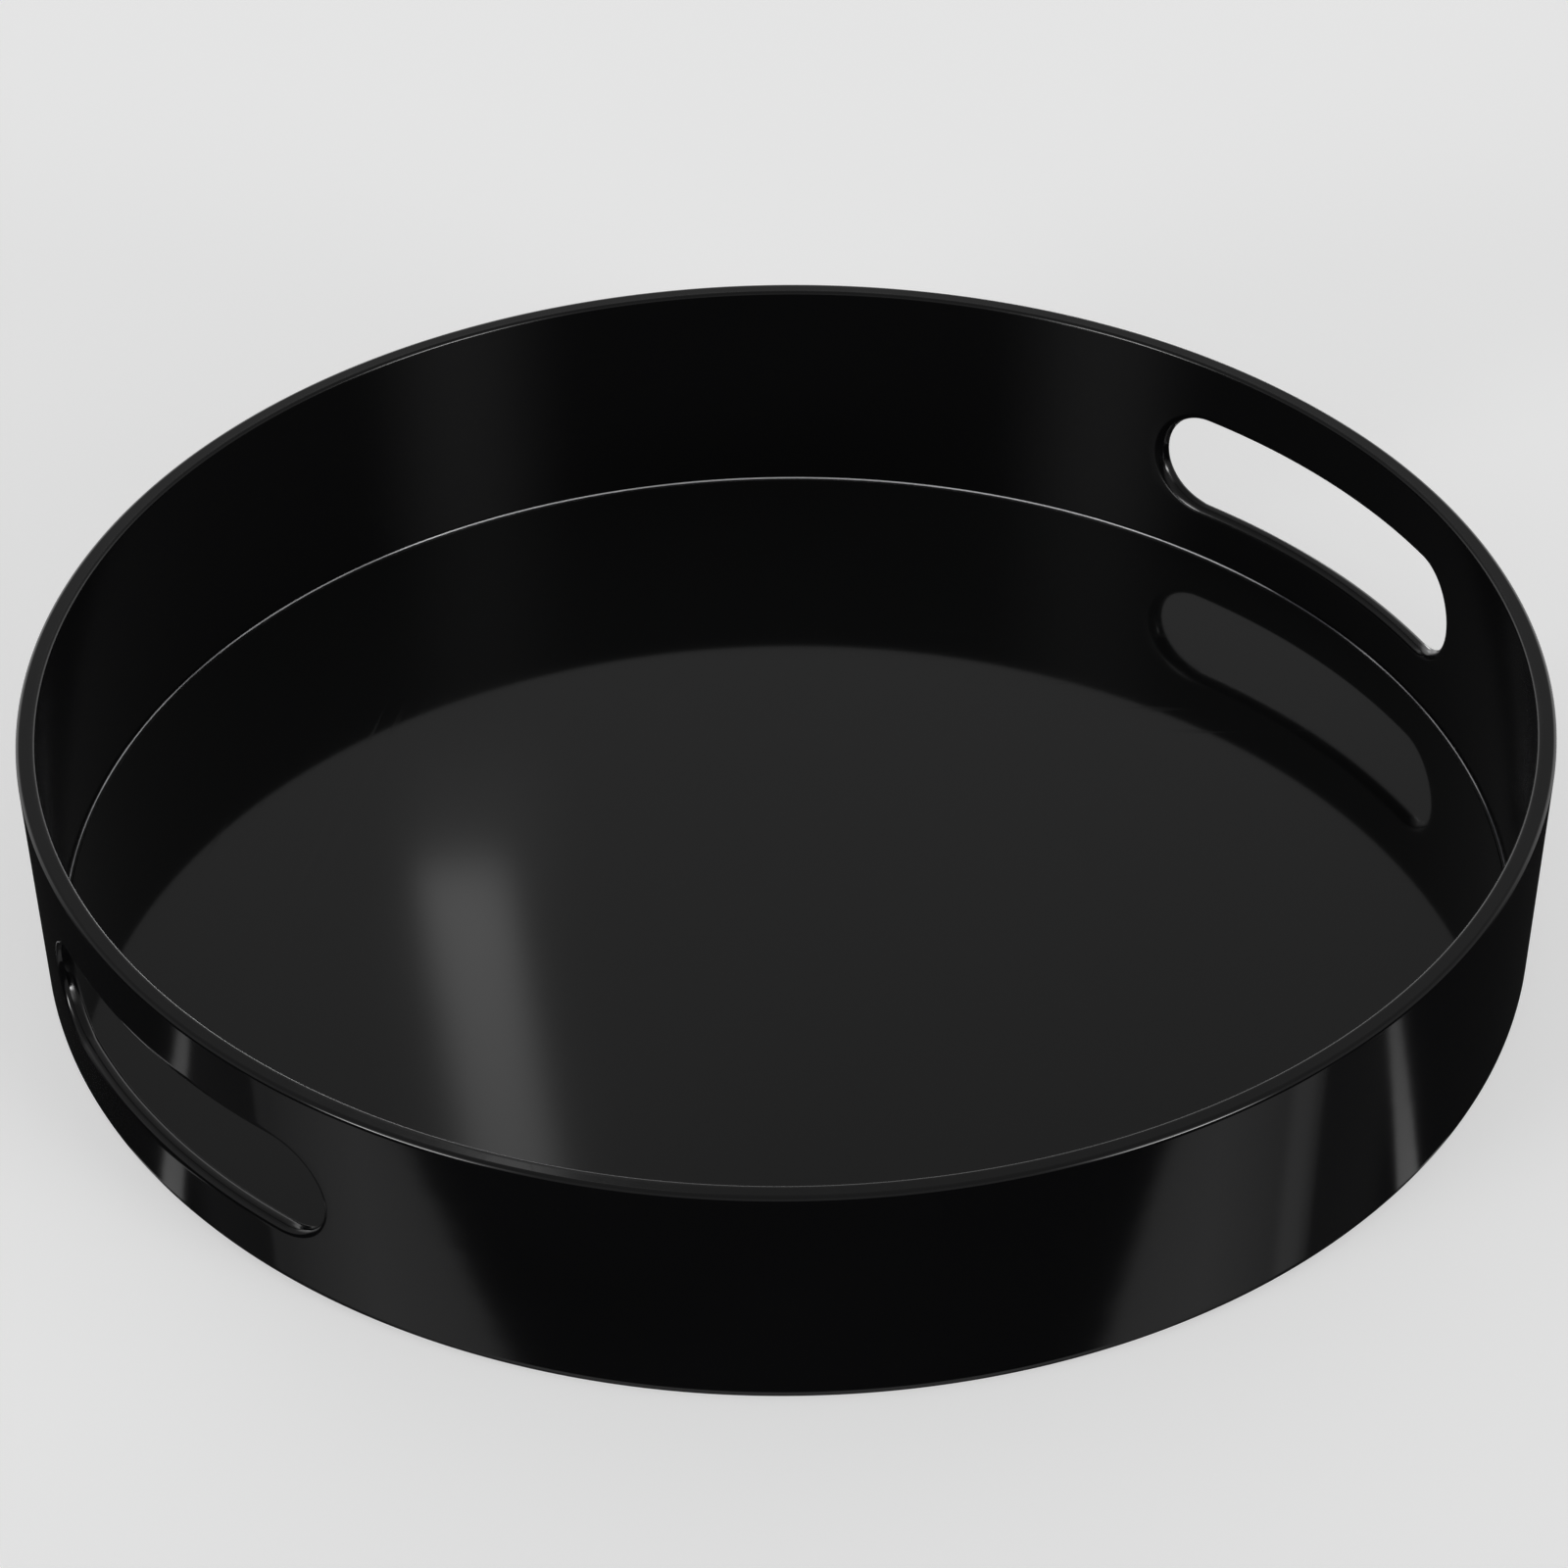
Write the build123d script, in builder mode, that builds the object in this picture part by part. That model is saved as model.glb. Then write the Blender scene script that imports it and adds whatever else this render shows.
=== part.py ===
from build123d import *
import os

# A round serving tray with two hand holes, sizes in millimetres.
# The origin lies on the surface that the tray stands on, under its centre.
# +Z is up, the hand holes are on +X and -X, and the front is -Y.

# Moulded shell
rim_radius = 165.0  # outside of the wall, at the rim
rim_height = 56.0  # standing surface to the top of the rim
foot_height = 1.0  # the wall's lower edge clears the standing surface by this
foot_radius = 162.9  # outside of the wall, at its lower edge
mouth_radius = 160.8  # inside of the wall, at the rim
well_radius = 159.2  # inside of the wall, just above the floor
well_depth = 52.4  # rim to floor panel
rim_round = 1.0  # outer edge of the rim
mouth_round = 0.8  # inner edge of the rim
foot_round = 2.5  # outer lower edge of the wall
cove_round = 0.45  # inside, where the wall meets its shelf
shelf_width = 0.5  # ledge round the floor panel
shelf_step = 0.1  # the ledge is this much lower than the panel's face

# Hand holes
hole_length = 96.4
hole_height = 24.1
hole_centre = 28.7  # above the standing surface
hole_lip = 1.6  # rounding of the lips, inside and out

# Floor panel, and the adhesive film that holds it in its recess
panel_thickness = 0.6
panel_gap = 0.2  # all round, between the panel and the recess
panel_round = 0.2
film_thickness = 0.15
film_margin = 1.5  # the film stops this far short of the panel's edge

# Underside
base_recess = 0.3  # the base is this much higher than the wall's lower edge
ring_width = 6.0  # flat ring below the wall
ring_round = 0.15
gate_radius = 4.0  # dimple in the middle of the base, where the mould was filled
gate_depth = 0.3

# Foot pads
pad_radius = 10.0
pad_round = 0.5
pad_circle = 132.0  # radius of the circle that the pads stand on
seat_depth = 0.5
seat_clearance = 0.25
adhesive_thickness = 0.15
adhesive_margin = 0.5
pad_places = {"back_right": 45, "back_left": 135, "front_left": 225, "front_right": 315}

# Levels and radii that follow from the sizes above
floor_level = rim_height - well_depth
shelf_level = floor_level - shelf_step
panel_level = floor_level - panel_thickness
recess_level = panel_level - film_thickness
recess_radius = well_radius - shelf_width
panel_radius = recess_radius - panel_gap
ring_radius = foot_radius - ring_width
base_level = foot_height + base_recess
seat_level = base_level + seat_depth
pad_height = seat_level - adhesive_thickness
upright = (Align.CENTER, Align.CENTER, Align.MIN)


def write_piece(piece, name):
    piece.label = name
    export_step(piece, f"parts/{name}.step")


os.makedirs("parts", exist_ok=True)

# The shell is one moulding. Base, wall and rim are turned from one section.
corner_rounds = {
    (mouth_radius, rim_height): mouth_round,
    (rim_radius, rim_height): rim_round,
    (foot_radius, foot_height): foot_round,
    (ring_radius, foot_height): ring_round,
    (well_radius, shelf_level): cove_round,
}
with BuildPart() as tray_shell:
    with BuildSketch(Plane.YZ) as section:
        with BuildLine():
            Polyline(
                (0, recess_level),
                (recess_radius, recess_level),
                (recess_radius, shelf_level),
                (well_radius, shelf_level),
                (mouth_radius, rim_height),
                (rim_radius, rim_height),
                (foot_radius, foot_height),
                (ring_radius, foot_height),
                (ring_radius, base_level),
                (0, base_level),
                close=True,
            )
        make_face()
        for corner, radius in corner_rounds.items():
            fillet(section.vertices().sort_by_distance(corner)[0], radius)
    revolve(axis=Axis.Z)

    # Both hand holes are one oblong pulled straight through along X.
    with BuildSketch(Plane.YZ):
        with Locations((0, hole_centre)):
            SlotOverall(hole_length, hole_height)
    extrude(amount=rim_radius * 1.1, both=True, mode=Mode.SUBTRACT)
    lip_zone = hole_height / 2 + hole_lip
    lips = tray_shell.edges().filter_by_position(Axis.Z, hole_centre - lip_zone, hole_centre + lip_zone)
    fillet(lips.filter_by(GeomType.LINE, reverse=True), hole_lip)

    # Seats for the foot pads, and the mould's gate dimple.
    with BuildSketch(Plane.XY.offset(base_level)):
        with PolarLocations(pad_circle, len(pad_places), start_angle=min(pad_places.values())):
            Circle(pad_radius + seat_clearance)
    extrude(amount=seat_depth, mode=Mode.SUBTRACT)
    with BuildSketch(Plane.XY.offset(base_level)):
        Circle(gate_radius)
    extrude(amount=gate_depth, mode=Mode.SUBTRACT)
write_piece(tray_shell.part, "tray_shell")

# A thin sheet is laid into the recess as the floor, on an adhesive film.
with BuildPart(Plane.XY.offset(panel_level)) as floor_panel:
    Cylinder(panel_radius, panel_thickness, align=upright)
    fillet(floor_panel.edges().group_by(Axis.Z)[-1], panel_round)
write_piece(floor_panel.part, "floor_panel")

with BuildPart(Plane.XY.offset(recess_level)) as floor_film:
    Cylinder(panel_radius - film_margin, film_thickness, align=upright)
write_piece(floor_film.part, "floor_film")

# Four rubber pads, each stuck into its seat by its own adhesive disc.
for place, angle in pad_places.items():
    centre = Vector(pad_circle, 0).rotate(Axis.Z, angle)
    with BuildPart(Plane(centre)) as foot_pad:
        Cylinder(pad_radius, pad_height, align=upright)
        fillet(foot_pad.edges().group_by(Axis.Z)[0], pad_round)
    write_piece(foot_pad.part, f"foot_pad_{place}")

    with BuildPart(Plane(centre).offset(pad_height)) as pad_adhesive:
        Cylinder(pad_radius - adhesive_margin, adhesive_thickness, align=upright)
    write_piece(pad_adhesive.part, f"pad_adhesive_{place}")
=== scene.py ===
import math

import bmesh
import bpy
from mathutils import Matrix, Vector


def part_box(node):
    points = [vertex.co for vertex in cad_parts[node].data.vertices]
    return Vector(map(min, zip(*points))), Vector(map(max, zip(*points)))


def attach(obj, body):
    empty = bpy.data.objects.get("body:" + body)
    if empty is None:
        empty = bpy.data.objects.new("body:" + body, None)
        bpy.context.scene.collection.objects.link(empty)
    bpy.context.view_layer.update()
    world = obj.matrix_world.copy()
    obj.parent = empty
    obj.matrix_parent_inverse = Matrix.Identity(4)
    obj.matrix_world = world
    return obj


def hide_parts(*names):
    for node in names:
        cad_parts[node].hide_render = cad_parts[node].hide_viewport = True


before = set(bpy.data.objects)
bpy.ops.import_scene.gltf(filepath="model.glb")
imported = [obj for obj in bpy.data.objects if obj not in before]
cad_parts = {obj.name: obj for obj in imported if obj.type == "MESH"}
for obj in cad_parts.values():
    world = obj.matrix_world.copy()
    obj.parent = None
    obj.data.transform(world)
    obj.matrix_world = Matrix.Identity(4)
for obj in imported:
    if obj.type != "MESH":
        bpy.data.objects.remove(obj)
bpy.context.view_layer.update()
mm = 0.001
shellLow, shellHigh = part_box("tray_shell")
panelLow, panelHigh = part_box("floor_panel")
filmLow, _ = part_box("floor_film")
padLow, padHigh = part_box("foot_pad_back_right")
_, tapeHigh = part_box("pad_adhesive_back_right")
print("frame loaded:", len(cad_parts), "CAD nodes")


class Wire:
    # one output socket; arithmetic on it adds Math nodes to its tree
    def __init__(self, graph, socket):
        self.graph = graph
        self.socket = socket

    def other(self, name):
        return Wire(self.graph, self.socket.node.outputs[name])

    def math(self, operation, *values):
        return self.graph.math(operation, self, *values)

    def __add__(self, value):
        return self.math("ADD", value)

    def __sub__(self, value):
        return self.math("SUBTRACT", value)

    def __rsub__(self, value):
        return self.graph.math("SUBTRACT", value, self)

    def __mul__(self, value):
        return self.math("MULTIPLY", value)

    def __truediv__(self, value):
        return self.math("DIVIDE", value)

    def __rtruediv__(self, value):
        return self.graph.math("DIVIDE", value, self)

    def __lt__(self, value):
        return self.math("LESS_THAN", value)

    def __gt__(self, value):
        return self.math("GREATER_THAN", value)

    __radd__ = __add__
    __rmul__ = __mul__


class Graph:
    # a node tree, shader or geometry
    def __init__(self, tree):
        self.tree = tree

    def node(self, kind, settings=None, inputs=(), out=0):
        # settings first, then socket values or links, by name or by position
        made = self.tree.nodes.new(kind)
        for name, value in (settings or {}).items():
            setattr(made, name, value)
        pairs = inputs.items() if isinstance(inputs, dict) else enumerate(inputs)
        for key, value in pairs:
            socket = self.findSocket(made, key)
            for single in value if isinstance(value, list) else [value]:
                if isinstance(single, Wire):
                    self.tree.links.new(single.socket, socket)
                else:
                    socket.default_value = single
        return Wire(self, made.outputs[out]) if len(made.outputs) else made

    def findSocket(self, made, key):
        if isinstance(key, int):
            return made.inputs[key]
        return next(s for s in made.inputs if s.enabled and s.name == key)

    def math(self, operation, *values, clamp=False):
        return self.node("ShaderNodeMath", {"operation": operation, "use_clamp": clamp}, values)

    def clamped(self, value):
        return self.math("ADD", value, 0.0, clamp=True)

    def mix(self, factor, low, high):
        # numbers only
        return low + (high - low) * factor

    def parts(self, vector):
        x = self.node("ShaderNodeSeparateXYZ", inputs=[vector])
        return x, x.other("Y"), x.other("Z")

    def vector(self, x, y, z):
        return self.node("ShaderNodeCombineXYZ", inputs=[x, y, z])

    def step(self, value, edge, blur):
        inputs = {"Value": value, "From Min": edge - blur, "From Max": edge + blur}
        return self.node("ShaderNodeMapRange", {"interpolation_type": "SMOOTHSTEP"}, inputs)

    def band(self, value, low, high, blur):
        return self.step(value, low, blur) * (1 - self.step(value, high, blur))

    def turnedAboutZ(self, vector, angle):
        inputs = {"Vector": vector, "Angle": angle}
        return self.node("ShaderNodeVectorRotate", {"rotation_type": "Z_AXIS"}, inputs)

    def noise(self, where, scale, detail=2.0, rough=0.5, squash=(1, 1, 1), seed=0.0):
        shift = (seed, seed * 0.7, seed * 1.3)
        place = {"Vector": where, "Location": shift, "Scale": squash}
        place = self.node("ShaderNodeMapping", inputs=place)
        inputs = {"Vector": place, "Scale": scale, "Detail": detail, "Roughness": rough}
        return self.node("ShaderNodeTexNoise", inputs=inputs)

    def colour(self, factor, low, high):
        inputs = {"Factor": factor, "A": low, "B": high}
        return self.node("ShaderNodeMix", {"data_type": "RGBA"}, inputs, out=2)


scratchLook = {
    "squash": (1, 0.012, 1),
    "seedStep": 3.1,
    "patches": {"scale": 14.0, "detail": 1.0, "squash": (1, 0.4, 1)},
    "patchEdge": (0.62, 0.05),
    "depth": 0.0001 * mm,
    "roughness": 0.05,
}


def hairlines(graph, where, turns, scale, width, seed):
    # faint straight scratches in a few directions, 0 or 1 with soft sides
    total = None
    for index, turn in enumerate(turns):
        turned = graph.turnedAboutZ(where, turn)
        lineSeed = seed + index * scratchLook["seedStep"]
        field = graph.noise(turned, scale, detail=0.0, squash=scratchLook["squash"], seed=lineSeed)
        line = 1 - graph.step((field - 0.5).math("ABSOLUTE"), width, width)
        patches = graph.noise(turned, seed=seed - index, **scratchLook["patches"])
        line = line * graph.step(patches, *scratchLook["patchEdge"])
        total = line if total is None else total.math("MAXIMUM", line)
    return total


def openMaterial(name):
    material = bpy.data.materials.new(name)
    material.use_nodes = True
    graph = Graph(material.node_tree)
    return material, graph, graph.node("ShaderNodeTexCoord", out="Object")


def closeMaterial(graph, finish, worn, roughness, height, distance=1.0):
    # worn runs from 0, the first colour, to 1, the worn one; on the bead it runs from the painted
    # highlight's pale colour to its dim one
    shader = graph.tree.nodes["Principled BSDF"]
    for name, value in finish["fixed"].items():
        shader.inputs[name].default_value = value
    relief = {"Height": height, "Distance": distance, "Strength": 1.0}
    varying = {
        "Base Color": graph.colour(worn, finish["colour"], finish["colourWornAndDimHighlight"]),
        "Roughness": roughness,
        "Normal": graph.node("ShaderNodeBump", inputs=relief),
    }
    for name, wire in varying.items():
        graph.tree.links.new(wire.socket, shader.inputs[name])


def openTree(name, sizes):
    # a geometry tree whose inputs are a section line and named sizes
    tree = bpy.data.node_groups.new(name, "GeometryNodeTree")
    tree.interface.new_socket("Section", in_out="INPUT", socket_type="NodeSocketGeometry")
    for label, value in sizes.items():
        kind = "NodeSocketInt" if isinstance(value, int) else "NodeSocketFloat"
        tree.interface.new_socket(label, in_out="INPUT", socket_type=kind)
    tree.interface.new_socket("Piece", in_out="OUTPUT", socket_type="NodeSocketGeometry")
    graph = Graph(tree)
    section = graph.node("NodeGroupInput")
    return graph, section, {label: section.other(label) for label in sizes}


def closeTree(graph, shape, material, sharpAngle=math.radians(40.0)):
    shape = graph.node("GeometryNodeRealizeInstances", inputs=[shape])
    shape = graph.node("GeometryNodeSetShadeSmooth", {"domain": "FACE"}, {"Geometry": shape})
    folded = graph.node("GeometryNodeInputMeshEdgeAngle") > sharpAngle
    shape = graph.node(
        "GeometryNodeSetShadeSmooth",
        {"domain": "EDGE"},
        {"Geometry": shape, "Selection": folded, "Shade Smooth": False},
    )
    shape = graph.node("GeometryNodeSetMaterial", inputs={"Geometry": shape, "Material": material})
    graph.node("NodeGroupOutput", inputs=[shape])
    return graph.tree


def moved(graph, shape, **change):
    return graph.node("GeometryNodeTransform", inputs={"Geometry": shape, **change})


def joined(graph, *shapes):
    return graph.node("GeometryNodeJoinGeometry", inputs=[list(shapes)])


def flipped(graph, shape):
    return graph.node("GeometryNodeFlipFaces", inputs=[shape])


def merged(graph, shape, distance=0.004 * mm):
    return graph.node("GeometryNodeMergeByDistance", inputs={"Geometry": shape, "Distance": distance})


def gridCells(graph, across, along):
    # a grid with its vertices numbered row by row: the grid, and each vertex's row and column
    grid = graph.node(
        "GeometryNodeMeshGrid",
        inputs={"Size X": 1.0, "Size Y": 1.0, "Vertices X": across, "Vertices Y": along},
    )
    index = graph.node("GeometryNodeInputIndex")
    row = ((index + 0.5) / along).math("FLOOR")
    return grid, row, index - row * along


def onCylinder(graph, grid, radius, angle, height):
    place = graph.vector(radius * angle.math("COSINE"), radius * angle.math("SINE"), height)
    return graph.node("GeometryNodeSetPosition", inputs={"Geometry": grid, "Position": place})


def turnedBody(graph, section, size):
    # rounds the section's corners and turns it once round Z
    line = graph.node("GeometryNodeMeshToCurve", inputs=[section])
    rounding = {"Name": "cornerRound"}
    rounding = graph.node("GeometryNodeInputNamedAttribute", {"data_type": "FLOAT"}, rounding)
    line = graph.node(
        "GeometryNodeFilletCurve",
        {"mode": "POLY"},
        {"Curve": line, "Count": size["Round Steps"], "Radius": rounding, "Limit Radius": True},
    )
    count = {"component": "CURVE"}
    count = graph.node("GeometryNodeAttributeDomainSize", count, [line], out="Point Count")
    grid, row, column = gridCells(graph, count, size["Segments"] + 1)
    place = graph.node(
        "GeometryNodeSampleIndex",
        {"data_type": "FLOAT_VECTOR", "domain": "POINT"},
        {"Geometry": line, "Value": graph.node("GeometryNodeInputPosition"), "Index": row},
    )
    radius, _, height = graph.parts(place)
    shape = onCylinder(graph, grid, radius, column * (2 * math.pi) / size["Segments"], height)
    return merged(graph, shape)


def sectionLine(corners, support=0.12 * mm, most=0.45):
    # corners are (radius, height, rounding); a rounded one gets a near neighbour on both
    # sides, which keeps the flat faces beside it flat when they are shaded smooth. Most is
    # the share of an edge that a rounding can take
    points = []
    for index, (radius, height, rounding) in enumerate(corners):
        here = Vector((radius, 0, height))
        if rounding == 0:
            points.append((here, 0.0))
            continue
        before = Vector((corners[index - 1][0], 0, corners[index - 1][1])) - here
        after = Vector((corners[index + 1][0], 0, corners[index + 1][1])) - here
        reach = rounding * math.tan((math.pi - before.angle(after)) / 2) + support
        points.append((here + before.normalized() * min(reach, before.length * most), 0.0))
        points.append((here, rounding))
        points.append((here + after.normalized() * min(reach, after.length * most), 0.0))
    return points


def sectionObject(name, corners):
    points = sectionLine(corners)
    mesh = bpy.data.meshes.new(name + "Section")
    mesh.from_pydata([p for p, _ in points], [(i, i + 1) for i in range(len(points) - 1)], [])
    rounds = mesh.attributes.new("cornerRound", "FLOAT", "POINT")
    rounds.data.foreach_set("value", [r for _, r in points])
    piece = bpy.data.objects.new(name, mesh)
    bpy.context.scene.collection.objects.link(piece)
    return piece


def closeMesh(mesh):
    shape = bmesh.new()
    shape.from_mesh(mesh)
    bmesh.ops.recalc_face_normals(shape, faces=shape.faces)
    loose = sum(not edge.is_manifold for edge in shape.edges)
    volume = round(shape.calc_volume(signed=True) * 1e6, 3)
    print(mesh.name, "faces", len(shape.faces), "open edges", loose, "cm3", volume)
    shape.to_mesh(mesh)
    shape.free()


def buildPiece(name, tree, sizes, corners, nodes):
    piece = sectionObject(name, corners)
    build = piece.modifiers.new("build", "NODES")
    build.node_group = tree
    for item in tree.interface.items_tree:
        if item.in_out == "INPUT" and item.name in sizes:
            build[item.identifier] = sizes[item.name]
    bpy.context.view_layer.update()
    shaped = piece.evaluated_get(bpy.context.evaluated_depsgraph_get())
    finished = bpy.data.meshes.new_from_object(shaped)
    piece.modifiers.clear()
    piece.data = finished
    finished.name = name
    closeMesh(finished)
    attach(piece, "root")
    if nodes:
        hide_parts(*nodes)


# the moulded shell. Its rim radius is the sharp corner, before it is rounded
rimRadius = shellHigh.x + 0.02 * mm
shell = {
    "tree": {
        "Segments": 400,
        "Round Steps": 7,
        "Foot Radius": rimRadius - 2.1 * mm,
        "Rim Radius": rimRadius,
        "Foot Level": shellLow.z,
        "Shelf Level": panelHigh.z - 0.1 * mm,
        "Well Radius": rimRadius - 5.8 * mm,
        "Mouth Radius": rimRadius - 4.2 * mm,
        "Rim Level": shellHigh.z,
        "Hole Half Length": 48.2 * mm,
        "Hole Half Height": 12.05 * mm,
        "Hole Level": 28.7 * mm,
        "Lip Round": 1.6 * mm,
        "Wall": 3.9 * mm,
        "Window Columns": 24,
        "Window Half Height": 17.0 * mm,
        "Window Rows": 8,
        "Window Join": 0.01 * mm,
        "Pad Circle": (padLow.xy + padHigh.xy).length / 2,
        "Pad Seat": (padHigh.x - padLow.x) / 2 + 0.25 * mm,
        "Seat Level": tapeHigh.z,
        "Seat Sides": 96,
        "Gate Radius": 4.0 * mm,
        "Gate Level": shellLow.z + 0.6 * mm,
        "Gate Sides": 64,
    },
    "holeRows": {"land": 1, "lip": 12, "face": 6, "arc": 20},
    "rounds": {
        "rim": 1.0 * mm,
        "mouth": 0.8 * mm,
        "foot": 2.5 * mm,
        "cove": 0.27 * mm,
        "small": 0.12 * mm,
    },
    "shelfWidth": 0.5 * mm,
    "ringWidth": 6.0 * mm,
    "baseLevel": shellLow.z + 0.3 * mm,
    "baseBreak": 0.93,  # of the ring's inner radius, where the base's wide triangles start
    "finish": {
        "colour": (0.0021, 0.0021, 0.0023, 1),
        "colourWornAndDimHighlight": (0.0036, 0.0036, 0.0039, 1),
        "wornByCloud": 0.6,
        "wornByRub": 0.5,
        "fixed": {"IOR": 1.5, "Specular IOR Level": 0.5},
        "roughness": 0.06,
        "roughnessSpread": 0.03,
        "roughnessRub": 0.04,
        "roughnessGrain": 0.01,
        "washed": 0.11,  # what washing up has added to the roughness inside
        "inside": (161.9 * mm, 0.4 * mm),  # the radius that parts inside from outside, and its blur
        "rimRub": (shellHigh.z - 0.3 * mm, 0.2 * mm),
        "footRub": (1.8 * mm, 0.6 * mm),
        "rubEdge": (0.55, 0.1),
        "waveHeight": 0.0045 * mm,
        "peelHeight": 0.00012 * mm,
        "cloud": {"scale": 22.0, "detail": 3.0, "rough": 0.55},
        "grain": {"scale": 900.0, "detail": 1.0, "seed": 4.0},
        "rub": {"scale": 60.0, "detail": 4.0, "rough": 0.6, "seed": 7.0},
        "wave": {"scale": 1 / (9.0 * mm), "detail": 1.0, "seed": 1.0},  # faint waves of a moulding
        "peel": {"scale": 1 / (1.6 * mm), "detail": 0.0, "seed": 9.0},
        "scratches": {"turns": (0.3, 1.9), "scale": 260.0, "width": 0.006, "seed": 2.0},
    },
}


def makeShellPlastic():
    finish = shell["finish"]
    material, graph, where = openMaterial("shellPlastic")
    x, y, z = graph.parts(where)
    cloud = graph.noise(where, **finish["cloud"])
    grain = graph.noise(where, **finish["grain"])
    # the rim and the ring below are where the tray rubs when it is stacked and slid
    rub = graph.step(z, *finish["rimRub"]) + (1 - graph.step(z, *finish["footRub"]))
    rub = rub * graph.step(graph.noise(where, **finish["rub"]), *finish["rubEdge"])
    scratch = hairlines(graph, where, **finish["scratches"])
    worn = graph.clamped(cloud * finish["wornByCloud"] + rub * finish["wornByRub"])
    inside = 1 - graph.step((x * x + y * y).math("SQRT"), *finish["inside"])
    roughness = finish["roughness"] + finish["roughnessSpread"] * (cloud - 0.5)
    roughness = roughness + rub * finish["roughnessRub"] + scratch * scratchLook["roughness"]
    roughness = roughness + (grain - 0.5) * finish["roughnessGrain"] + inside * finish["washed"]
    height = graph.noise(where, **finish["wave"]) * finish["waveHeight"]
    height = height + graph.noise(where, **finish["peel"]) * finish["peelHeight"]
    height = height - scratch * scratchLook["depth"]
    closeMaterial(graph, finish, worn, graph.clamped(roughness), height)
    return material


def holeQuarter(graph, size, up):
    # a quarter of the wall round a hand hole: from the window's edge in the outer face, round
    # the lip, through the hole and round the inner lip to the window's edge in the inner face
    rows = shell["holeRows"]
    bent = rows["land"] + rows["lip"]
    half = bent + rows["face"]
    around = size["Window Columns"] + size["Window Rows"]
    grid, step, line = gridCells(graph, around + 1, 2 * half + 1)
    away = (line - half).math("ABSOLUTE")
    side = (line - half).math("SIGN")

    bend = graph.clamped((away - rows["land"]) / rows["lip"]) * (math.pi / 2)
    out = size["Lip Round"] * (1 - bend.math("COSINE"))
    depth = (size["Wall"] / 2 - size["Lip Round"]) * graph.clamped(away / rows["land"])
    depth = depth + size["Lip Round"] * bend.math("SINE")
    share = 0.5 + side * depth / size["Wall"]
    blend = graph.clamped((away - bent) / rows["face"])

    reach = size["Hole Half Height"] + out
    turn = graph.clamped(step / rows["arc"]) * (math.pi / 2)
    straight = 1 - graph.clamped((step - rows["arc"]) / (around - rows["arc"]))
    holeAcross = (size["Hole Half Length"] - size["Hole Half Height"]) * straight
    holeAcross = holeAcross + reach * turn.math("COSINE")
    holeUp = reach * turn.math("SINE")
    edgeUp = size["Window Half Height"] * graph.clamped(step / size["Window Rows"])
    edgeAngle = 1 - graph.clamped((step - size["Window Rows"]) / size["Window Columns"])
    edgeAngle = edgeAngle * size["Window Columns"] * (2 * math.pi) / size["Segments"]

    height = size["Hole Level"] + graph.mix(blend, holeUp, edgeUp) * up
    inner = (height - size["Shelf Level"]) / (size["Rim Level"] - size["Shelf Level"])
    inner = graph.mix(inner, size["Well Radius"], size["Mouth Radius"])
    outer = (height - size["Foot Level"]) / (size["Rim Level"] - size["Foot Level"])
    outer = graph.mix(outer, size["Foot Radius"], size["Rim Radius"])
    radius = graph.mix(share, inner, outer)
    angle = graph.mix(blend, (holeAcross / radius).math("ARCSINE"), edgeAngle)
    shape = onCylinder(graph, grid, radius, angle, height)
    return flipped(graph, shape) if up < 0 else shape


def shellWithHoles(graph, body, size):
    # opens a window in the wall for each hand hole, then fills it with the moulded hole
    x, y, z = graph.parts(graph.node("GeometryNodeInputPosition"))
    slope = (size["Window Columns"] * (2 * math.pi) / size["Segments"]).math("TANGENT")
    beside = y.math("ABSOLUTE") < x.math("ABSOLUTE") * slope
    level = (z - size["Hole Level"]).math("ABSOLUTE") < size["Window Half Height"]
    window = {"Geometry": body, "Selection": beside * level}
    body = graph.node("GeometryNodeDeleteGeometry", {"domain": "FACE"}, window)
    half = joined(graph, holeQuarter(graph, size, 1), holeQuarter(graph, size, -1))
    hole = joined(graph, half, flipped(graph, moved(graph, half, Scale=(1, -1, 1))))
    other = moved(graph, hole, Rotation=(0, 0, math.pi))
    body = joined(graph, body, flipped(graph, hole), flipped(graph, other))
    return merged(graph, body, size["Window Join"])


def shellTree():
    graph, section, size = openTree("trayShell", shell["tree"])
    body = shellWithHoles(graph, turnedBody(graph, section, size), size)
    # seats for the four pads, and the gate's dimple
    ring = graph.node("GeometryNodeMeshCircle", inputs={"Vertices": 4, "Radius": size["Pad Circle"]})
    ring = moved(graph, ring, Rotation=(0, 0, math.pi / 4))
    seatDepth = (size["Seat Level"] - size["Foot Level"]) * 2
    seat = {"Vertices": size["Seat Sides"], "Radius": size["Pad Seat"], "Depth": seatDepth}
    seat = graph.node("GeometryNodeMeshCylinder", inputs=seat)
    gateDepth = (size["Gate Level"] - size["Foot Level"]) * 2
    gate = {"Vertices": size["Gate Sides"], "Radius": size["Gate Radius"], "Depth": gateDepth}
    gate = graph.node("GeometryNodeMeshCylinder", inputs=gate)
    seats = graph.node("GeometryNodeInstanceOnPoints", inputs={"Points": ring, "Instance": seat})
    cutters = graph.node("GeometryNodeRealizeInstances", inputs=[joined(graph, seats, gate)])
    cutters = moved(graph, cutters, Translation=graph.vector(0.0, 0.0, size["Foot Level"]))
    body = graph.node(
        "GeometryNodeMeshBoolean",
        {"operation": "DIFFERENCE", "solver": "MANIFOLD"},
        {"Mesh 1": body, "Mesh 2": cutters},
    )
    return closeTree(graph, body, makeShellPlastic())


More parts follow.
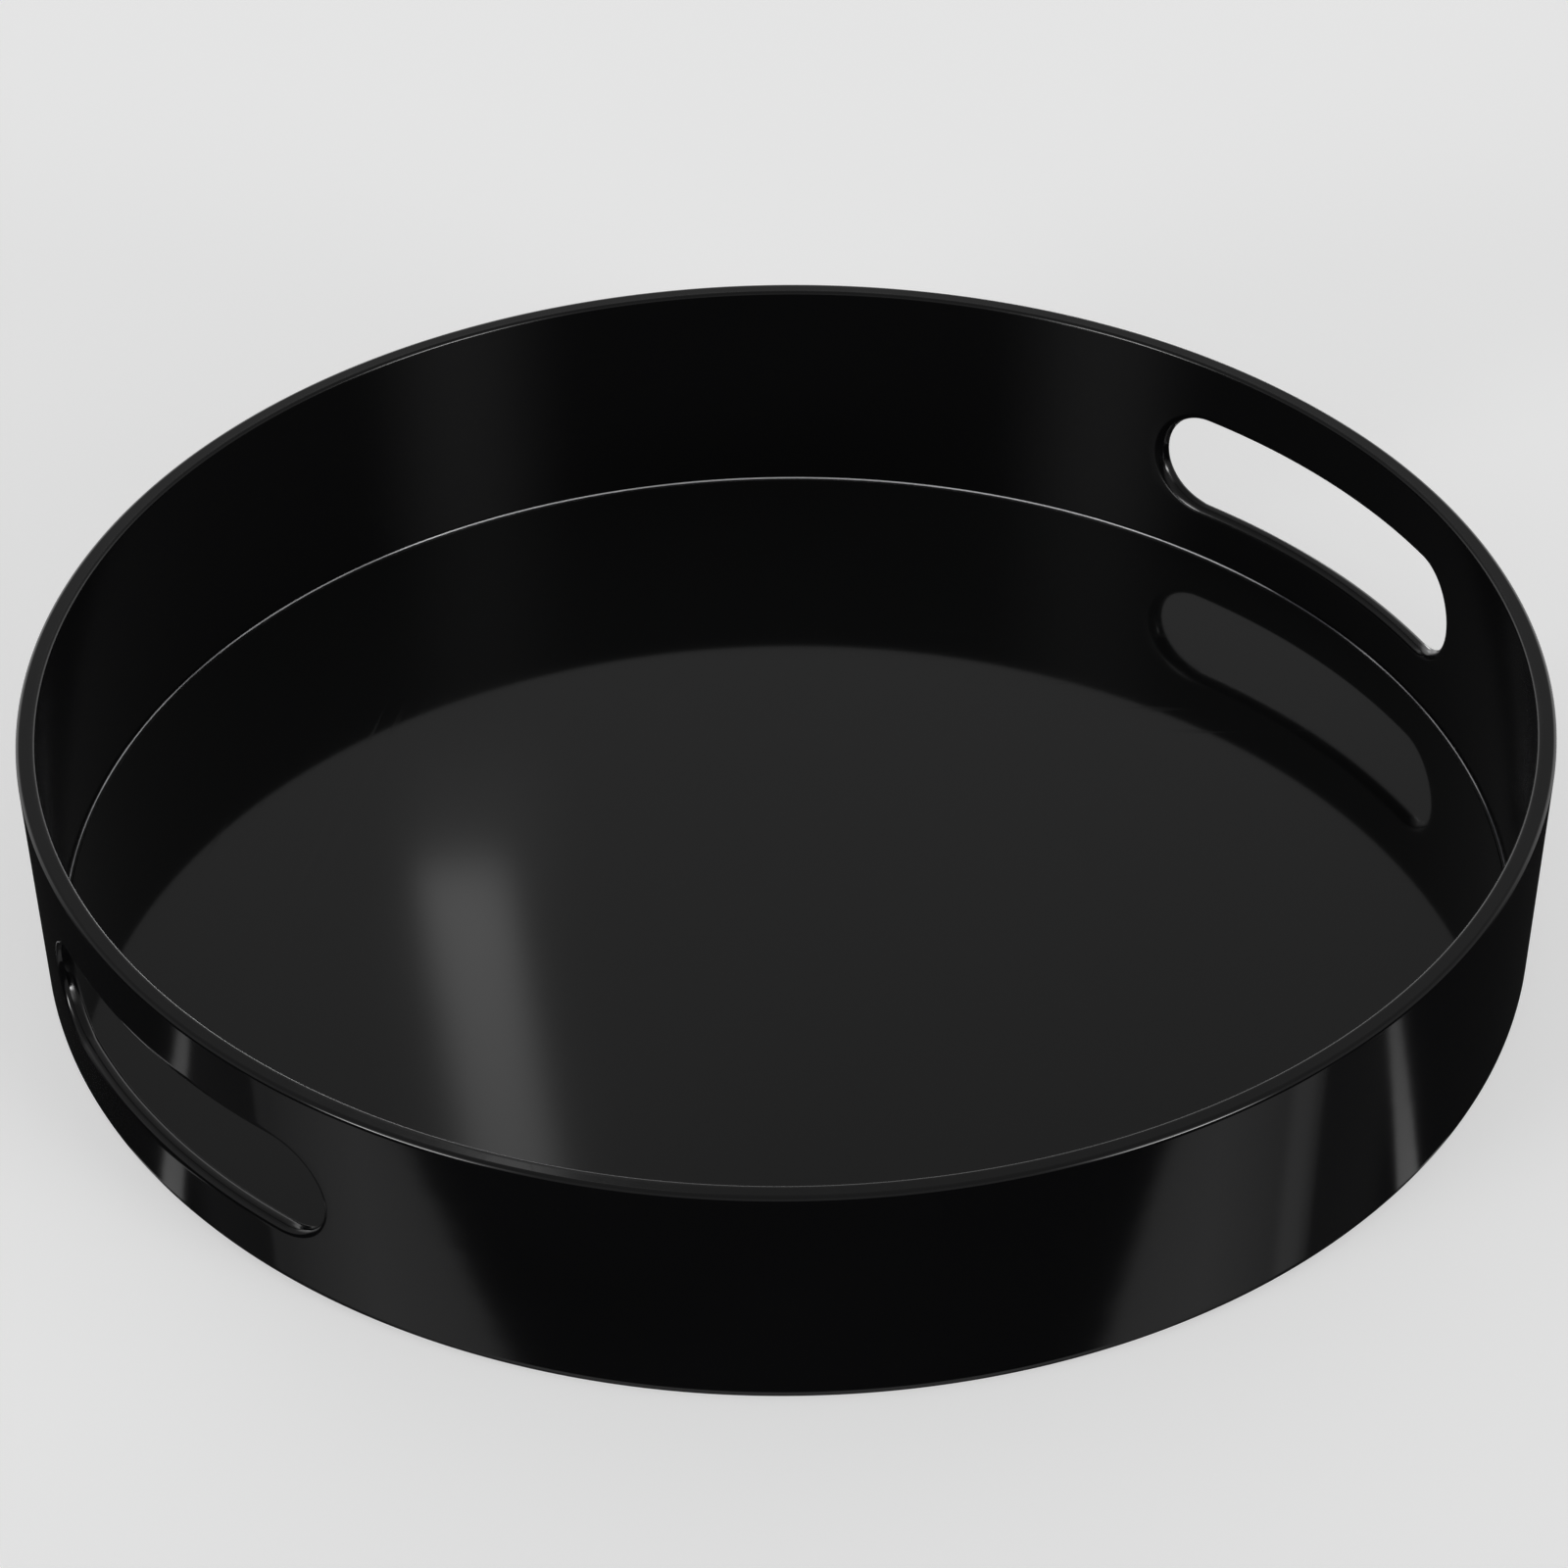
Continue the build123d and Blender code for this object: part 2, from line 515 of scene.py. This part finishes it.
def shellCorners():
    size = shell["tree"]
    rounds = shell["rounds"]
    rows = 2 * size["Window Rows"]
    low = size["Hole Level"] - size["Window Half Height"]
    levels = [low + size["Window Half Height"] * 2 * row / rows for row in range(rows + 1)]

    def wallPoint(level, lowest, lowRadius, highRadius):
        share = (level - lowest) / (size["Rim Level"] - lowest)
        return (lowRadius + share * (highRadius - lowRadius), level, 0)

    inner = (size["Shelf Level"], size["Well Radius"], size["Mouth Radius"])
    outer = (size["Foot Level"], size["Foot Radius"], size["Rim Radius"])
    recessRadius = size["Well Radius"] - shell["shelfWidth"]
    ringRadius = size["Foot Radius"] - shell["ringWidth"]
    baseLevel = shell["baseLevel"]
    return [
        (0, filmLow.z, 0),
        (recessRadius / 2, filmLow.z, 0),
        (recessRadius, filmLow.z, rounds["small"]),
        (recessRadius, size["Shelf Level"], rounds["small"]),
        (size["Well Radius"], size["Shelf Level"], rounds["cove"]),
        *[wallPoint(level, *inner) for level in levels],
        (size["Mouth Radius"], size["Rim Level"], rounds["mouth"]),
        (size["Rim Radius"], size["Rim Level"], rounds["rim"]),
        *[wallPoint(level, *outer) for level in reversed(levels)],
        (size["Foot Radius"], size["Foot Level"], rounds["foot"]),
        (ringRadius, size["Foot Level"], rounds["small"]),
        (ringRadius, baseLevel, rounds["small"]),
        (ringRadius * shell["baseBreak"], baseLevel, 0),
        (0, baseLevel, 0),
    ]


buildPiece("trayShell", shellTree(), shell["tree"], shellCorners(), ["tray_shell"])
print("shell made")


panel = {
    "tree": {"Segments": 400, "Round Steps": 5},
    "edge": 0.22 * mm,
    "underEdge": 0.1 * mm,
    "topRings": (0.15, 0.4, 0.7),
    "underRing": 0.5,
    "finish": {
        "colour": (0.0070, 0.0072, 0.0073, 1),
        "colourWornAndDimHighlight": (0.0092, 0.0094, 0.0096, 1),
        "fixed": {"IOR": 1.5, "Specular IOR Level": 0.5},
        "roughness": 0.055,
        "roughnessSpread": 0.02,
        "smearShare": 0.6,
        "cloudShare": 0.4,
        "waveHeight": 0.006 * mm,
        "cloud": {"scale": 12.0, "detail": 4.0, "rough": 0.55, "seed": 3.0},
        "smear": {"scale": 26.0, "squash": (1, 0.35, 1), "seed": 5.0},
        "wave": {"scale": 1 / (45.0 * mm), "detail": 1.0, "seed": 8.0},
        "scratches": {"turns": (0.9, 2.2, 2.9), "scale": 240.0, "width": 0.005, "seed": 6.0},
    },
}


def makePanelPlastic():
    finish = panel["finish"]
    material, graph, where = openMaterial("panelPlastic")
    cloud = graph.noise(where, **finish["cloud"])
    smear = graph.noise(where, **finish["smear"])
    scratch = hairlines(graph, where, **finish["scratches"])
    dull = smear * finish["smearShare"] + cloud * finish["cloudShare"] - 0.5
    roughness = finish["roughness"] + finish["roughnessSpread"] * dull
    roughness = roughness + scratch * scratchLook["roughness"]
    height = graph.noise(where, **finish["wave"]) * finish["waveHeight"] - scratch * scratchLook["depth"]
    closeMaterial(graph, finish, graph.clamped(cloud), graph.clamped(roughness), height)
    return material


def turnedTree(name, sizes, material):
    graph, section, size = openTree(name, sizes)
    return closeTree(graph, turnedBody(graph, section, size), material)


def panelCorners():
    radius = panelHigh.x
    return [
        (0, panelHigh.z, 0),
        *[(radius * share, panelHigh.z, 0) for share in panel["topRings"]],
        (radius, panelHigh.z, panel["edge"]),
        (radius, panelLow.z, panel["underEdge"]),
        (radius * panel["underRing"], panelLow.z, 0),
        (0, panelLow.z, 0),
    ]


panelTree = turnedTree("floorPanel", panel["tree"], makePanelPlastic())
buildPiece("floorPanel", panelTree, panel["tree"], panelCorners(), ["floor_panel"])
print("panel made")


# a hair-thin bead in the corner where the ledge round the floor meets the wall; its pale colour is a
# painted highlight along the floor seam
bead = {
    "tree": {"Segments": 400, "Round Steps": 4},
    "width": 0.12 * mm,
    "height": 0.34 * mm,
    "frontHeight": 0.35,  # of the height
    "buried": 0.1 * mm,
    "frontRound": 0.08 * mm,
    "topRound": 0.05 * mm,
    "finish": {
        # the first colour is the painted highlight at its palest, the second is its dim end
        "colour": (0.86, 0.86, 0.88, 1),
        "colourWornAndDimHighlight": (0.08, 0.08, 0.09, 1),
        "fixed": {"IOR": 1.45},
        "roughness": 0.16,
        "roughnessSpread": 0.12,
        "rippleHeight": 0.05 * mm,
        "highlightTowards": (0.62, 0.78),
        "highlightEdge": (122.0 * mm, 18.0 * mm),
        "highlightShare": 0.8,
        "thinEdge": (0.5, 0.2),
        "thinSpread": 0.75,
        "thinLeast": 0.25,
        "ripple": {"scale": 130.0, "detail": 3.0, "rough": 0.55},
        "thin": {"scale": 34.0, "seed": 4.0},
    },
}


def makeSealantPaintedHighlight():
    finish = bead["finish"]
    material, graph, where = openMaterial("sealantPaintedHighlight")
    ripple = graph.noise(where, **finish["ripple"])
    # painted highlight: paler on the side of the tray away from the camera, fading towards the sides
    x, y, _ = graph.parts(where)
    aside, back = finish["highlightTowards"]
    highlightSide = graph.step(x * aside + y * back, *finish["highlightEdge"])
    # noise dims the painted highlight in patches
    thin = graph.step(graph.noise(where, **finish["thin"]), *finish["thinEdge"])
    thin = graph.clamped(thin * finish["thinSpread"] + finish["thinLeast"] - highlightSide * finish["highlightShare"])
    roughness = finish["roughness"] + ripple * finish["roughnessSpread"]
    closeMaterial(graph, finish, thin, roughness, ripple, finish["rippleHeight"])
    return material


def beadCorners():
    wall = shell["tree"]["Well Radius"]
    ledge = shell["tree"]["Shelf Level"]
    front = wall - bead["width"]
    behind = wall + bead["buried"]
    top = ledge + bead["height"]
    under = ledge - bead["buried"]
    return [
        (behind, ledge, 0),
        (behind, under, 0),
        (front, under, 0),
        (front, ledge + bead["height"] * bead["frontHeight"], bead["frontRound"]),
        (wall, top, bead["topRound"]),
        (behind, top, 0),
        (behind, ledge, 0),
    ]


# the bead's pale colour paints the highlight line along the floor seam
beadTree = turnedTree("floorBead", bead["tree"], makeSealantPaintedHighlight())
buildPiece("floorBead", beadTree, bead["tree"], beadCorners(), [])
print("bead made")


pad = {
    "tree": {"Segments": 96, "Round Steps": 6, "Centre X": 0.0, "Centre Y": 0.0},
    "edge": 0.45 * mm,
    "soft": 0.1 * mm,
    "grooveInner": 0.66,  # of the pad's radius
    "grooveOuter": 0.74,
    "grooveDepth": 0.25 * mm,
    "grooveLean": 0.4,  # of the groove's depth
    "finish": {
        "colour": (0.016, 0.016, 0.017, 1),
        "colourWornAndDimHighlight": (0.045, 0.044, 0.042, 1),
        "fixed": {"IOR": 1.5, "Specular IOR Level": 0.35},
        "roughness": 0.62,
        "roughnessSpread": 0.2,
        "grainHeight": 0.06 * mm,
        "dustEdge": (0.56, 0.12),
        "grain": {"scale": 2600.0, "detail": 3.0, "rough": 0.6},
        "dust": {"scale": 420.0, "detail": 4.0, "rough": 0.65, "seed": 2.0},
    },
}


def makePadRubber():
    finish = pad["finish"]
    material, graph, where = openMaterial("padRubber")
    grain = graph.noise(where, **finish["grain"])
    dust = graph.step(graph.noise(where, **finish["dust"]), *finish["dustEdge"])
    roughness = finish["roughness"] + dust * finish["roughnessSpread"]
    closeMaterial(graph, finish, dust, roughness, grain, finish["grainHeight"])
    return material


def padTree():
    graph, section, size = openTree("footPad", pad["tree"])
    centre = graph.vector(size["Centre X"], size["Centre Y"], 0.0)
    body = moved(graph, turnedBody(graph, section, size), Translation=centre)
    return closeTree(graph, body, makePadRubber())


def padCorners():
    radius = (padHigh.x - padLow.x) / 2
    deep = pad["grooveDepth"]
    lean = deep * pad["grooveLean"]
    inner = radius * pad["grooveInner"]
    outer = radius * pad["grooveOuter"]
    return [
        (0, padHigh.z, 0),
        (radius, padHigh.z, pad["soft"]),
        (radius, 0, pad["edge"]),
        (outer, 0, pad["soft"]),
        (outer - lean, deep, pad["soft"]),
        (inner + lean, deep, pad["soft"]),
        (inner, 0, pad["soft"]),
        (0, 0, 0),
    ]


footPadTree = padTree()
for corner in ("back_right", "back_left", "front_left", "front_right"):
    low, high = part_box("foot_pad_" + corner)
    pad["tree"]["Centre X"] = (low.x + high.x) / 2
    pad["tree"]["Centre Y"] = (low.y + high.y) / 2
    name = "footPad" + corner.title().replace("_", "")
    buildPiece(name, footPadTree, pad["tree"], padCorners(), ["foot_pad_" + corner])
print("pads made")


adhesive = {
    "finish": {
        "colour": (0.46, 0.43, 0.35, 1),
        "colourWornAndDimHighlight": (0.66, 0.63, 0.55, 1),
        "fixed": {"IOR": 1.47},
        "roughness": 0.35,
        "roughnessSpread": 0.25,
        "fibreHeight": 0.03 * mm,
        "fibres": {"scale": 900.0, "detail": 3.0, "rough": 0.6, "squash": (1, 0.2, 1)},
    },
}


def makeAdhesive():
    finish = adhesive["finish"]
    material, graph, where = openMaterial("adhesive")
    fibres = graph.noise(where, **finish["fibres"])
    roughness = finish["roughness"] + fibres * finish["roughnessSpread"]
    closeMaterial(graph, finish, fibres, roughness, fibres, finish["fibreHeight"])
    return material


# the film under the panel and the discs over the pads stay the CAD's own
adhesiveLook = makeAdhesive()
for name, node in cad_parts.items():
    if name == "floor_film" or name.startswith("pad_adhesive"):
        node.data.materials.clear()
        node.data.materials.append(adhesiveLook)
print("adhesive made")


table = {
    "half": 6.0,
    "drop": 0.02 * mm,
    "colour": (0.58, 0.58, 0.58, 1),
    "colourPale": (0.62, 0.62, 0.62, 1),
    "tone": {"scale": 3.0, "detail": 3.0},
    "roughness": 0.9,
    "glow": 0.5,  # a lit table, so shadows stay light
}


def makeFloor():
    half = table["half"]
    mesh = bpy.data.meshes.new("stageFloor")
    corners = [(-half, -half), (half, -half), (half, half), (-half, half)]
    mesh.from_pydata([(x, y, -table["drop"]) for x, y in corners], [], [(0, 1, 2, 3)])
    floor = bpy.data.objects.new("stageFloor", mesh)
    bpy.context.scene.collection.objects.link(floor)
    material, graph, where = openMaterial("paleFloor")
    shader = graph.tree.nodes["Principled BSDF"]
    colour = graph.colour(graph.noise(where, **table["tone"]), table["colour"], table["colourPale"])
    graph.tree.links.new(colour.socket, shader.inputs["Base Color"])
    shader.inputs["Roughness"].default_value = table["roughness"]
    shader.inputs["Emission Color"].default_value = (1, 1, 1, 1)
    shader.inputs["Emission Strength"].default_value = table["glow"]
    mesh.materials.append(material)
    floor.visible_glossy = False  # the gloss mirrors the studio round it, not the white sweep


view = {
    "turn": math.radians(38.34),  # from straight ahead of the tray to where the camera stands
    "lens": 120.68,
    "sensor": 36.0,
    "nearest": 0.05,
    "back": 0.9144,
    "height": 0.7237,
    "pan": 0.00057,
    "down": 0.64898,
    "roll": -0.00944,
}


def makeCamera():
    camera = bpy.data.objects.new("camera", bpy.data.cameras.new("camera"))
    bpy.context.scene.collection.objects.link(camera)
    camera.data.sensor_width = view["sensor"]
    camera.data.lens = view["lens"]
    camera.data.clip_start = view["nearest"]
    turn = Matrix.Rotation(-view["turn"], 4, "Z")
    place = Matrix.Translation((0, -view["back"], view["height"]))
    tilt = Matrix.Rotation(view["pan"], 4, "Z") @ Matrix.Rotation(math.pi / 2 - view["down"], 4, "X")
    roll = Matrix.Rotation(view["roll"], 4, "Z")
    camera.matrix_world = turn @ place @ tilt @ roll
    bpy.context.scene.camera = camera


# a grey room with soft boxes. Angles are in degrees: 0 is ahead of the camera and left is
# negative. A band is (low edge, high edge, blur) and an edge is (place, blur)
studio = {
    "grey": 0.257,  # the room above the tray, as its gloss mirrors it
    "greyRise": (34.0, 44.0),
    "greyLow": 1.17,
    "greyHigh": 0.84,
    "horizon": (-4.0, 6.0),
    "strip": 1.3,  # a narrow box ahead that leans and fades upwards
    "stripAcross": (-4.96, -3.74, 0.25),
    "stripFoot": (37.95, 0.3),
    "stripHead": (52.0, 2.0),
    "stripLean": 0.145,
    "stripLeanFrom": 39.0,
    "stripFade": 0.05,
    "stripFadeFrom": 38.6,
    "halo": 0.08,
    "haloAcross": (-5.1, -3.3, 0.6),
    "haloUp": (36.8, 38.2, 0.5),
    "side": 14.0,  # a box on each side
    "sideAcross": (118.0, 137.0, 5.0),
    "sideUp": (7.0, 16.0, 3.0),
    "sideGlow": 1.7,
    "glowAcross": (118.5, 138.0, 9.0),
    "glowUp": (8.0, 37.0, 8.0),
    "black": 0.01,  # between the cards beside the camera
    "card": 0.03,
    "cardStep": 0.09,
    "cardStepFrom": (89.8, 0.6),
    "cardSlope": 0.18,
    "cardSlopeOver": (0.05, 0.35),
    "cardStripe": 0.12,
    "cardStripeAcross": (91.5, 96.5, 1.5),
    "cardAhead": (119.7, 1.6),
    "cardAheadFrom": 44.75,
    "cardLean": 4.6,
    "cardLeanSpread": 0.0067,
    "cardFoot": (-50.5, 1.5),
    "cardBehind": (-0.3, 0.08),
    "flattest": 0.05,
    "slit": 0.42,
    "slitTop": 42.0,
    "slitNear": (72.0, 0.6),
    "slitNearLean": 9.5,
    "slitFar": (76.4, 0.6),
    "slitFarLean": 5.8,
    "far": 0.75,  # the pale sweep behind the tray
    "farUp": (-25.0, 25.0, 6.0),
    "farAcross": (60.0, 15.0),
    "farEdge": 5.0,
    "edgeRight": (2.5, 16.0, 2.0),
    "edgeLeft": (-16.0, -2.5, 2.0),
    "edgeLeftShare": 0.2,
    "edgeUp": (-4.0, 5.0, 2.0),
    "backdrop": 1.0,
}


def lightAbove(graph, azimuth, beside, rise):
    # grey, paler low down, with a narrow box ahead and a box on each side
    low, high = studio["greyRise"]
    ends = {"To Min": studio["grey"] * studio["greyLow"], "To Max": studio["grey"] * studio["greyHigh"]}
    room = {"Value": rise, "From Min": low, "From Max": high, **ends}
    room = graph.node("ShaderNodeMapRange", inputs=room)
    bright = 1 - (rise - studio["stripFadeFrom"]) * studio["stripFade"]
    bright = studio["strip"] * bright - studio["grey"]
    across = azimuth - (rise - studio["stripLeanFrom"]) * studio["stripLean"]
    strip = graph.band(across, *studio["stripAcross"]) * graph.step(rise, *studio["stripFoot"])
    strip = strip * (1 - graph.step(rise, *studio["stripHead"])) * bright
    halo = graph.band(azimuth, *studio["haloAcross"]) * graph.band(rise, *studio["haloUp"])
    side = graph.band(beside, *studio["sideAcross"]) * graph.band(rise, *studio["sideUp"])
    glow = graph.band(beside, *studio["glowAcross"]) * graph.band(rise, *studio["glowUp"])
    return room + strip + halo * studio["halo"] + side * studio["side"] + glow * studio["sideGlow"]


def lightBelow(graph, azimuth, beside, rise, near):
    # a grey card on each side of the camera, black between them, and a slit beside each
    low, high = studio["cardSlopeOver"]
    slope = graph.node("ShaderNodeMapRange", inputs={"Value": near, "From Min": low, "From Max": high})
    card = studio["card"] + studio["cardStep"] * graph.step(beside, *studio["cardStepFrom"])
    card = card + studio["cardSlope"] * slope
    card = card + studio["cardStripe"] * graph.band(azimuth, *studio["cardStripeAcross"])
    lean = studio["cardLean"] - azimuth * studio["cardLeanSpread"]
    ahead = graph.step(beside + (rise + studio["cardAheadFrom"]) * lean, *studio["cardAhead"])
    card = card * (1 - ahead * graph.step(rise, *studio["cardFoot"]))
    card = card * graph.step(near, *studio["cardBehind"])
    under = rise + studio["slitTop"]
    slit = graph.step(beside - under * studio["slitNearLean"], *studio["slitNear"])
    slit = slit * (1 - graph.step(beside - under * studio["slitFarLean"], *studio["slitFar"]))
    return studio["black"] + card + slit * studio["slit"]


def lightFar(graph, azimuth, beside, rise):
    # a pale sweep far behind the tray, brightest where it meets the table
    far = graph.band(rise, *studio["farUp"]) * (1 - graph.step(beside, *studio["farAcross"]))
    left = studio["edgeLeftShare"] * graph.band(azimuth, *studio["edgeLeft"])
    edge = (graph.band(azimuth, *studio["edgeRight"]) + left) * graph.band(rise, *studio["edgeUp"])
    return far * studio["far"] + edge * studio["farEdge"]


def makeWorld():
    world = bpy.data.worlds.new("studio")
    bpy.context.scene.world = world
    world.use_nodes = True
    graph = Graph(world.node_tree)
    background = world.node_tree.nodes["Background"]
    look = graph.node("ShaderNodeTexCoord", out="Generated")
    x, y, z = graph.parts(graph.turnedAboutZ(look, view["turn"]))
    azimuth = graph.math("ARCTAN2", x, y) * (180 / math.pi)
    beside = azimuth.math("ABSOLUTE")
    rise = z.math("ARCSINE") * (180 / math.pi)
    near = y / graph.math("MAXIMUM", z * -1, studio["flattest"]) * -1
    above = lightAbove(graph, azimuth, beside, rise)
    below = lightBelow(graph, azimuth, beside, rise, near)
    level = graph.mix(graph.step(rise, *studio["horizon"]), below, above)
    level = level + lightFar(graph, azimuth, beside, rise)
    level = graph.mix(graph.node("ShaderNodeLightPath"), level, studio["backdrop"])
    graph.tree.links.new(level.socket, background.inputs["Strength"])
    background.inputs["Color"].default_value = (1, 1, 1, 1)


makeFloor()
makeCamera()
makeWorld()
bpy.context.scene.view_settings.view_transform = "Standard"
print("stage made")
